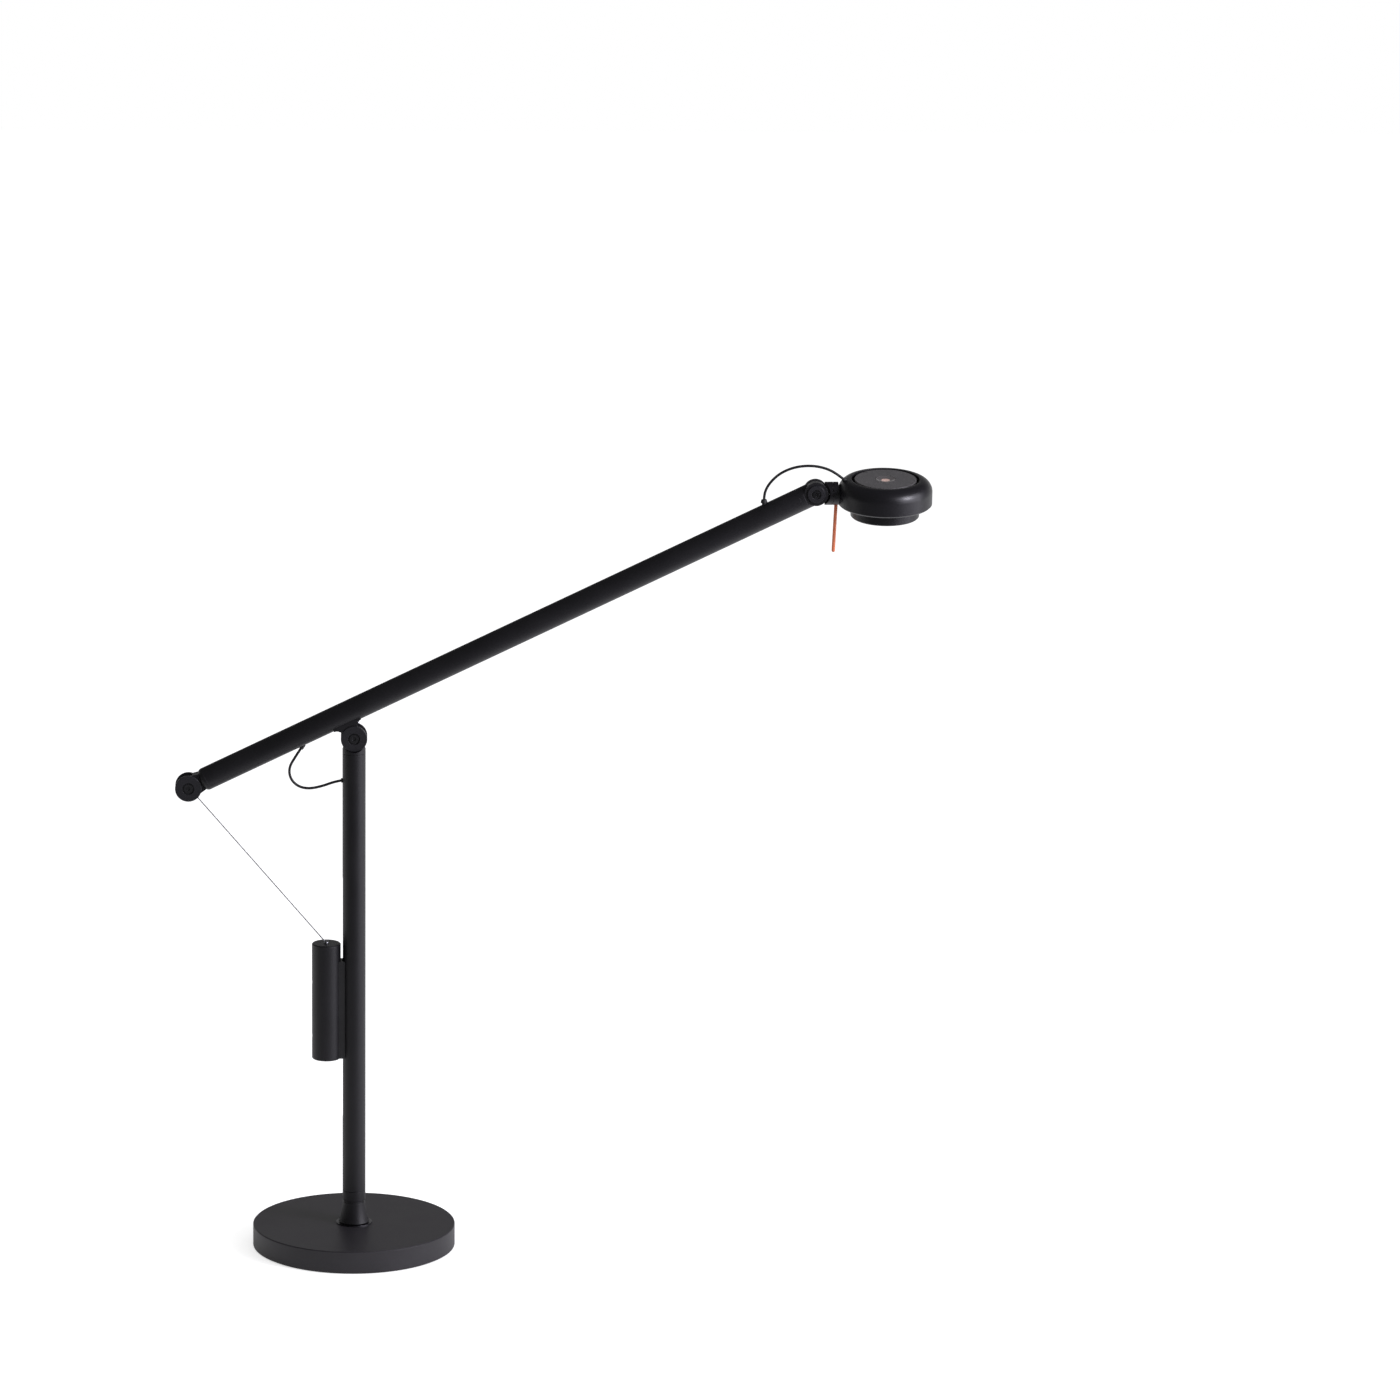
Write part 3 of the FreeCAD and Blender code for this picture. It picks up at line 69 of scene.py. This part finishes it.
# The wire hangs straight from its drum to the ball in the weight's top.
WIRE_ROUTE = [(-139.57, 0.0, 408.47), (-81.2, 0.0, 339.87), (-22.9, 0.0, 271.27)]


# ---- camera: fitted to the photograph, in millimetres, metres and degrees
SENSOR_WIDTH = 36.0
LENS = 201.06
CAMERA_PLACE = (0.0009, -6.5449, 2.0556)
CAMERA_TURN = -2.5968
CAMERA_FALL = 13.448
CAMERA_ROLL = 0.6128


def aim_camera():
    """The photograph's view: far away, a little above the head and turned a little to the right."""
    data = bpy.data.cameras.new("camera")
    data.sensor_width = SENSOR_WIDTH
    data.lens = LENS
    camera = bpy.data.objects.new("camera", data)
    scene.collection.objects.link(camera)
    turn = (
        Matrix.Rotation(math.radians(CAMERA_TURN), 4, "Z")
        @ Matrix.Rotation(math.radians(90 - CAMERA_FALL), 4, "X")
        @ Matrix.Rotation(math.radians(CAMERA_ROLL), 4, "Z")
    )
    camera.matrix_world = Matrix.Translation(CAMERA_PLACE) @ turn
    scene.camera = camera


aim_camera()


# ---- cords
ROUTE_ORDER = 3
ROUTE_STEPS = 16
CABLE_SIDES = 14
# The upper loop's length past the neck, which is cut off as a piece of its own.
HEAD_STRETCH = 31.2 * MM
# Wire rope: six strands round a core. Three strands lie side by side across it.
OUTER_STRANDS = 6
STRAND_R = WIRE_D / 6
STRAND_SIDES = 5
LAY_LENGTH = 7.0 * MM
LAY_STEPS = 12


def nurbs_line(route):
    """The points of the smooth line whose control points are the route's."""
    curve = bpy.data.curves.new("route", "CURVE")
    curve.dimensions = "3D"
    curve.resolution_u = ROUTE_STEPS
    spline = curve.splines.new("NURBS")
    spline.points.add(len(route) - 1)
    for point, place in zip(spline.points, route):
        point.co = (place[0] * MM, place[1] * MM, place[2] * MM, 1.0)
    spline.order_u = ROUTE_ORDER
    spline.use_endpoint_u = True
    holder = bpy.data.objects.new("route", curve)
    mesh = bpy.data.meshes.new_from_object(holder)
    line = [v.co.copy() for v in mesh.vertices]
    bpy.data.meshes.remove(mesh)
    bpy.data.curves.remove(curve)
    return line


def lengths_along(line):
    along = [0.0]
    for before, after in zip(line, line[1:]):
        along.append(along[-1] + (after - before).length)
    return along


def frames_along(line):
    """At each point, two directions square to the line that turn as little as they can along it."""
    frames = []
    side = Vector((0, 1, 0))
    for i in range(len(line)):
        way = (line[min(i + 1, len(line) - 1)] - line[max(i - 1, 0)]).normalized()
        side = (side - way * side.dot(way)).normalized()
        frames.append((side, way.cross(side)))
    return frames


def mesh_piece(name, vertices, faces, uvs=None):
    mesh = bpy.data.meshes.new(name)
    mesh.from_pydata([tuple(v) for v in vertices], [], faces)
    if uvs:
        layer = mesh.uv_layers.new(name="UVMap")
        for loop in mesh.loops:
            layer.data[loop.index].uv = uvs[loop.vertex_index]
    mesh.polygons.foreach_set("use_smooth", [True] * len(mesh.polygons))
    mesh.update()
    piece = bpy.data.objects.new(name, mesh)
    scene.collection.objects.link(piece)
    return piece


def ring_faces(first, rings, sides):
    """The faces between rings of vertices that follow each other from the first vertex on."""
    faces = []
    for i in range(rings - 1):
        for k in range(sides):
            a = first + i * sides + k
            b = first + i * sides + (k + 1) % sides
            faces.append((a, b, b + sides, a + sides))
    return faces


def cable(name, line, frames):
    """A round cable along the line, closed at both ends, with its length and its turn as UVs."""
    radius = CABLE_D / 2
    vertices, uvs = [], []
    for point, (side, up), at in zip(line, frames, lengths_along(line)):
        for k in range(CABLE_SIDES):
            angle = 2 * math.pi * k / CABLE_SIDES
            vertices.append(point + (side * math.cos(angle) + up * math.sin(angle)) * radius)
            uvs.append((at / (2 * math.pi * radius), k / CABLE_SIDES))
    faces = ring_faces(0, len(line), CABLE_SIDES)
    faces.append(tuple(reversed(range(CABLE_SIDES))))
    faces.append(tuple(range(len(vertices) - CABLE_SIDES, len(vertices))))
    return mesh_piece(name, vertices, faces, uvs)


def make_lower_loop():
    line = nurbs_line(LOWER_ROUTE)
    loop = cable("lower_loop", line, frames_along(line))
    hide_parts("lower_cable_loop")
    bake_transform(loop)
    return loop


def make_upper_loop():
    """The arch over the head joint, in two pieces; the second is its last stretch, shorter than
    HEAD_STRETCH.
    """
    line = nurbs_line(UPPER_ROUTE)
    frames = frames_along(line)
    along = lengths_along(line)
    split = next(i for i, at in enumerate(along) if along[-1] - at < HEAD_STRETCH)
    first = cable("upper_loop", line[: split + 1], frames[: split + 1])
    last = cable("upper_loop_end", line[split:], frames[split:])
    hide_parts("upper_cable_loop")
    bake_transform(first)
    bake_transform(last)
    return first, last


def make_wire():
    """Wire rope along the straight route. Its last strand is the core."""
    ends = nurbs_line(WIRE_ROUTE)
    start, way = ends[0], ends[-1] - ends[0]
    side, up = frames_along(ends)[0]
    steps = LAY_STEPS * round(way.length / LAY_LENGTH)
    vertices, faces = [], []
    for strand in range(OUTER_STRANDS + 1):
        offset = 0 if strand == OUTER_STRANDS else 2 * STRAND_R
        faces += ring_faces(len(vertices), steps + 1, STRAND_SIDES)
        for i in range(steps + 1):
            turn = 2 * math.pi * (i / LAY_STEPS + strand / OUTER_STRANDS)
            out = side * math.cos(turn) + up * math.sin(turn)
            across = up * math.cos(turn) - side * math.sin(turn)
            centre = start + way * (i / steps) + out * offset
            for k in range(STRAND_SIDES):
                angle = 2 * math.pi * k / STRAND_SIDES
                edge = out * math.cos(angle) + across * math.sin(angle)
                vertices.append(centre + edge * STRAND_R)
    wire = mesh_piece("wire_rope", vertices, faces)
    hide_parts("balance_wire")
    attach(wire, "wire_swivel")
    return wire


lower_loop = make_lower_loop()
upper_loops = make_upper_loop()
wire_rope = make_wire()


# ---- materials
# Most of a noise texture's values lie between these two, and its colours change inside them.
NOISE_SPAN = (0.3, 0.7)
COLOUR_SPAN = (0.35, 0.65)
COAT_GRAIN = 1500.0
EDGE_SAMPLES = 6


def feed(tree, socket, value):
    """Sets a socket to a value, or links it to another node's output."""
    if isinstance(value, bpy.types.NodeSocket):
        tree.links.new(value, socket)
    else:
        socket.default_value = value


def add(tree, kind, *inputs, **named):
    """A node with its sockets fed, in their order or by name."""
    node = tree.nodes.new(kind)
    for socket, value in zip(node.inputs, inputs):
        feed(tree, socket, value)
    for name, value in named.items():
        feed(tree, node.inputs[name.replace("_", " ")], value)
    return node


def remap(tree, factor, low, high, start=0.0, end=1.0):
    """A factor's range from start to end, mapped onto low to high."""
    node = add(
        tree, "ShaderNodeMapRange", Value=factor, From_Min=start, From_Max=end, To_Min=low,
        To_Max=high,
    )
    return node.outputs["Result"]


def combine(tree, operation, first, second):
    node = add(tree, "ShaderNodeMath", first, second)
    node.operation = operation
    return node.outputs[0]


def ramp(tree, factor, dark, light):
    node = add(tree, "ShaderNodeValToRGB", Fac=factor)
    for element, at, colour in zip(node.color_ramp.elements, COLOUR_SPAN, (dark, light)):
        element.position = at
        element.color = (*colour, 1.0)
    return node.outputs["Color"]


def surface(
    name, dark, light, roughness, grain, relief, patch=35.0, stretch=(1, 1, 1), rounding=0.0, **sockets
):
    """Patchy colour and roughness with a fine grain. Grain and patch are per metre, relief in metres."""
    material = bpy.data.materials.new(name)
    material.use_nodes = True
    tree = material.node_tree
    shader = tree.nodes["Principled BSDF"]
    place = add(tree, "ShaderNodeTexCoord").outputs["Object"]
    place = add(tree, "ShaderNodeMapping", Vector=place, Scale=stretch).outputs["Vector"]
    patches = add(tree, "ShaderNodeTexNoise", Vector=place, Scale=patch, Detail=4.0).outputs["Fac"]
    fine = add(tree, "ShaderNodeTexNoise", Vector=place, Scale=grain, Detail=3.0).outputs["Fac"]
    mean = combine(tree, "MULTIPLY", combine(tree, "ADD", patches, fine), 0.5)
    bump = add(tree, "ShaderNodeBump", Height=fine, Distance=relief)
    if rounding:
        edge = add(tree, "ShaderNodeBevel", Radius=rounding)
        edge.samples = EDGE_SAMPLES
        feed(tree, bump.inputs["Normal"], edge.outputs["Normal"])
    feed(tree, shader.inputs["Base Color"], ramp(tree, mean, dark, light))
    feed(tree, shader.inputs["Roughness"], remap(tree, mean, *roughness, *NOISE_SPAN))
    feed(tree, shader.inputs["Normal"], bump.outputs["Normal"])
    for socket, value in sockets.items():
        feed(tree, shader.inputs[socket.replace("_", " ")], value)
    return material


def powder_coat(name, dark, light, roughness=(0.42, 0.52)):
    return surface(
        name, dark, light, roughness, grain=COAT_GRAIN, relief=0.05 * MM, rounding=0.4 * MM
    )


BLACK = (0.0062, 0.0058, 0.0076)
BLACK_LIGHT = (0.0098, 0.0092, 0.0116)
MATERIALS = {
    # Painted light: the base's coat is a lighter copy of the black coat. It stands in for the light on
    # the top of the base.
    "base_coat": powder_coat("base coat", (0.0165, 0.0150, 0.0180), (0.0262, 0.0240, 0.0282)),
    "post_coat": powder_coat("post coat", BLACK, BLACK_LIGHT),
    "arm_coat": powder_coat("arm coat", BLACK, BLACK_LIGHT),
    # Painted light: the knuckles' coat is a lighter copy of the black coat. It stands in for the light
    # on the faces of the joint discs.
    "knuckle_coat": powder_coat("knuckle coat", (0.0110, 0.0106, 0.0134), (0.0170, 0.0164, 0.0204)),
    "weight_coat": powder_coat("weight coat", (0.0070, 0.0066, 0.0084), (0.0110, 0.0104, 0.0130)),
    "head_coat": powder_coat("head coat", BLACK, BLACK_LIGHT, roughness=(0.30, 0.38)),
    "plate_coat": surface(
        "plate coat", (0.022, 0.021, 0.022), (0.120, 0.115, 0.118), roughness=(0.38, 0.60),
        grain=1900.0, relief=0.06 * MM, patch=1100.0, rounding=0.3 * MM,
    ),
    "collar_metal": surface(
        "turned steel", (0.09, 0.09, 0.10), (0.17, 0.17, 0.18), roughness=(0.28, 0.40),
        grain=2600.0, relief=0.02 * MM, stretch=(1, 1, 12), rounding=0.2 * MM, Metallic=1.0,
    ),
    "ballast_iron": surface(
        "cast iron", (0.10, 0.10, 0.10), (0.24, 0.23, 0.22), roughness=(0.55, 0.75),
        grain=700.0, relief=0.3 * MM, Metallic=0.8,
    ),
    "zinc_steel": surface(
        "zinc plate", (0.42, 0.42, 0.43), (0.62, 0.62, 0.62), roughness=(0.25, 0.42),
        grain=1800.0, relief=0.02 * MM, patch=160.0, rounding=0.2 * MM, Metallic=1.0,
    ),
    "black_steel": surface(
        "black oxide", (0.020, 0.020, 0.022), (0.050, 0.050, 0.053), roughness=(0.30, 0.42),
        grain=1800.0, relief=0.02 * MM, rounding=0.2 * MM, Metallic=0.7,
    ),
    "wire_steel": surface(
        "stainless strand", (0.30, 0.305, 0.32), (0.44, 0.45, 0.465), roughness=(0.26, 0.40),
        grain=2400.0, relief=0.02 * MM, patch=300.0, Metallic=1.0,
    ),
    "pad_rubber": surface(
        "pad rubber", (0.012, 0.012, 0.012), (0.028, 0.028, 0.028), roughness=(0.7, 0.85),
        grain=1400.0, relief=0.1 * MM,
    ),
    "bearing_plastic": surface(
        "bearing plastic", (0.010, 0.010, 0.011), (0.020, 0.020, 0.021), roughness=(0.45, 0.6),
        grain=1600.0, relief=0.04 * MM,
    ),
    "grommet_rubber": surface(
        "bush rubber", (0.010, 0.010, 0.010), (0.022, 0.022, 0.022), roughness=(0.55, 0.7),
        grain=1500.0, relief=0.05 * MM,
    ),
    "cable_jacket": surface(
        "cable jacket", (0.010, 0.010, 0.011), (0.019, 0.019, 0.020), roughness=(0.38, 0.5),
        grain=1300.0, relief=0.04 * MM,
    ),
    "handle_orange": surface(
        "coral sleeve", (0.66, 0.175, 0.085), (0.76, 0.225, 0.115), roughness=(0.28, 0.38),
        grain=900.0, relief=0.04 * MM, patch=60.0, Subsurface_Weight=0.1,
    ),
    "sink_aluminium": surface(
        "cast aluminium", (0.50, 0.50, 0.51), (0.66, 0.66, 0.67), roughness=(0.4, 0.55),
        grain=900.0, relief=0.1 * MM, Metallic=1.0,
    ),
    "board_white": surface(
        "board", (0.72, 0.72, 0.68), (0.80, 0.80, 0.76), roughness=(0.4, 0.5),
        grain=500.0, relief=0.03 * MM,
    ),
    "reflector_white": surface(
        "reflector", (0.80, 0.80, 0.80), (0.88, 0.88, 0.88), roughness=(0.15, 0.25),
        grain=700.0, relief=0.02 * MM,
    ),
    "diffuser_opal": surface(
        "opal diffuser", (0.78, 0.77, 0.74), (0.85, 0.84, 0.81), roughness=(0.32, 0.42),
        grain=900.0, relief=0.03 * MM, Subsurface_Weight=0.3,
    ),
    "switch_plastic": surface(
        "switch", (0.02, 0.02, 0.02), (0.04, 0.04, 0.04), roughness=(0.4, 0.5),
        grain=900.0, relief=0.03 * MM,
    ),
    "button_plastic": surface(
        "button rim", (0.100, 0.094, 0.096), (0.160, 0.148, 0.150), roughness=(0.16, 0.24),
        grain=1600.0, relief=0.01 * MM, rounding=0.2 * MM, Metallic=0.3,
    ),
    "button_copper": surface(
        "button copper", (0.74, 0.50, 0.43), (0.88, 0.64, 0.56), roughness=(0.12, 0.2),
        grain=1800.0, relief=0.01 * MM, rounding=0.2 * MM, Metallic=0.35,
    ),
}


def paint(piece, slot):
    piece.data.materials.clear()
    piece.data.materials.append(MATERIALS[slot])


for part in frame["record"]["subparts"]:
    paint(nodes[part["node"]], part["material_slot"])
for piece in (lower_loop, *upper_loops):
    paint(piece, "cable_jacket")
paint(wire_rope, "wire_steel")


# ---- floor, backdrop and light
FLOOR_REACH = 6.0
FLOOR_ROUGHNESS = 0.9
# For light that bounces, the floor darkens from behind the object to before it. The dark part is
# FLOOR_DARK, the pale part, which the camera sees everywhere, FLOOR_PALE.
FLOOR_DARK = 0.16
FLOOR_PALE = 0.85
FLOOR_DARK_Y = -0.75
FLOOR_PALE_Y = 0.15
# The floor's own glow: what the camera sees of it, and the most that a reflection does.
FLOOR_GLOW = 0.55
FLOOR_GLOSS = 0.18
# The world's strength for diffuse light, and in reflections of the studio and of the backdrop,
# which reaches up to BACKDROP_TOP, the sine of its height seen from the object.
STUDIO_LIGHT = 0.60
STUDIO_DIM = 0.05
BACKDROP_GLOSS = 0.85
BACKDROP_TOP = 0.45
LAMP_COLOUR = (0.91, 0.89, 1.0)


def make_floor():
    """Pale floor that fades into the white backdrop, and gives the object less light than it shows."""
    r = FLOOR_REACH
    floor = mesh_piece("floor", [(-r, -r, 0), (r, -r, 0), (r, r, 0), (-r, r, 0)], [(0, 1, 2, 3)])
    material = bpy.data.materials.new("pale floor")
    material.use_nodes = True
    tree = material.node_tree
    rays = add(tree, "ShaderNodeLightPath").outputs
    place = add(tree, "ShaderNodeNewGeometry").outputs["Position"]
    depth = add(tree, "ShaderNodeSeparateXYZ", place).outputs["Y"]
    unseen = remap(tree, depth, FLOOR_DARK, FLOOR_PALE, FLOOR_DARK_Y, FLOOR_PALE_Y)
    shader = tree.nodes["Principled BSDF"]
    shader.inputs["Roughness"].default_value = FLOOR_ROUGHNESS
    shader.inputs["Specular IOR Level"].default_value = 0.0
    feed(tree, shader.inputs["Base Color"], remap(tree, rays["Is Camera Ray"], unseen, FLOOR_PALE))
    mirrored = combine(tree, "MAXIMUM", rays["Is Glossy Ray"], rays["Is Transmission Ray"])
    behind = remap(tree, depth, 0.0, FLOOR_GLOSS, FLOOR_DARK_Y, FLOOR_PALE_Y)
    glow = combine(tree, "MULTIPLY", mirrored, behind)
    glow = remap(tree, rays["Is Camera Ray"], glow, FLOOR_GLOW)
    light = add(tree, "ShaderNodeEmission", Strength=glow)
    both = add(tree, "ShaderNodeAddShader", shader.outputs[0], light.outputs[0])
    feed(tree, tree.nodes["Material Output"].inputs["Surface"], both.outputs[0])
    floor.data.materials.append(material)


def light_world():
    """White where the camera looks past the object, and a soft grey for light. Gloss shows the white
    backdrop low behind the object and a dim studio elsewhere."""
    world = bpy.data.worlds.new("studio")
    scene.world = world
    world.use_nodes = True
    world.cycles.sampling_method = "NONE"
    tree = world.node_tree
    rays = add(tree, "ShaderNodeLightPath").outputs
    way = add(tree, "ShaderNodeTexCoord").outputs["Generated"]
    ways = add(tree, "ShaderNodeSeparateXYZ", way).outputs
    low = remap(tree, ways["Z"], 1.0, 0.0, 0.0, BACKDROP_TOP)
    behind = combine(tree, "MULTIPLY", remap(tree, ways["Y"], 0.0, 1.0), low)
    gloss = remap(tree, behind, STUDIO_DIM, BACKDROP_GLOSS)
    strength = remap(tree, rays["Is Glossy Ray"], STUDIO_LIGHT, gloss)
    clear = combine(tree, "MAXIMUM", rays["Is Camera Ray"], rays["Is Transmission Ray"])
    background = tree.nodes["Background"]
    background.inputs["Color"].default_value = (1, 1, 1, 1)
    feed(tree, background.inputs["Strength"], remap(tree, clear, strength, 1.0))


def softbox(name, place, target, size, power):
    data = bpy.data.lights.new(name, "AREA")
    data.shape = "RECTANGLE"
    data.size, data.size_y = size
    data.energy = power
    data.color = LAMP_COLOUR
    lamp = bpy.data.objects.new(name, data)
    scene.collection.objects.link(lamp)
    lamp.location = place
    lamp.rotation_euler = (Vector(target) - Vector(place)).to_track_quat("-Z", "Y").to_euler()
    lamp.visible_camera = False


make_floor()
light_world()
softbox("right", place=(2.02, -0.80, 0.98), target=(0.1, 0, 0.4), size=(2.0, 1.9), power=34.0)
softbox("key", place=(1.75, -0.95, 1.35), target=(0.3, 0, 0.55), size=(0.35, 0.5), power=17.0)

scene.view_settings.view_transform = "Standard"
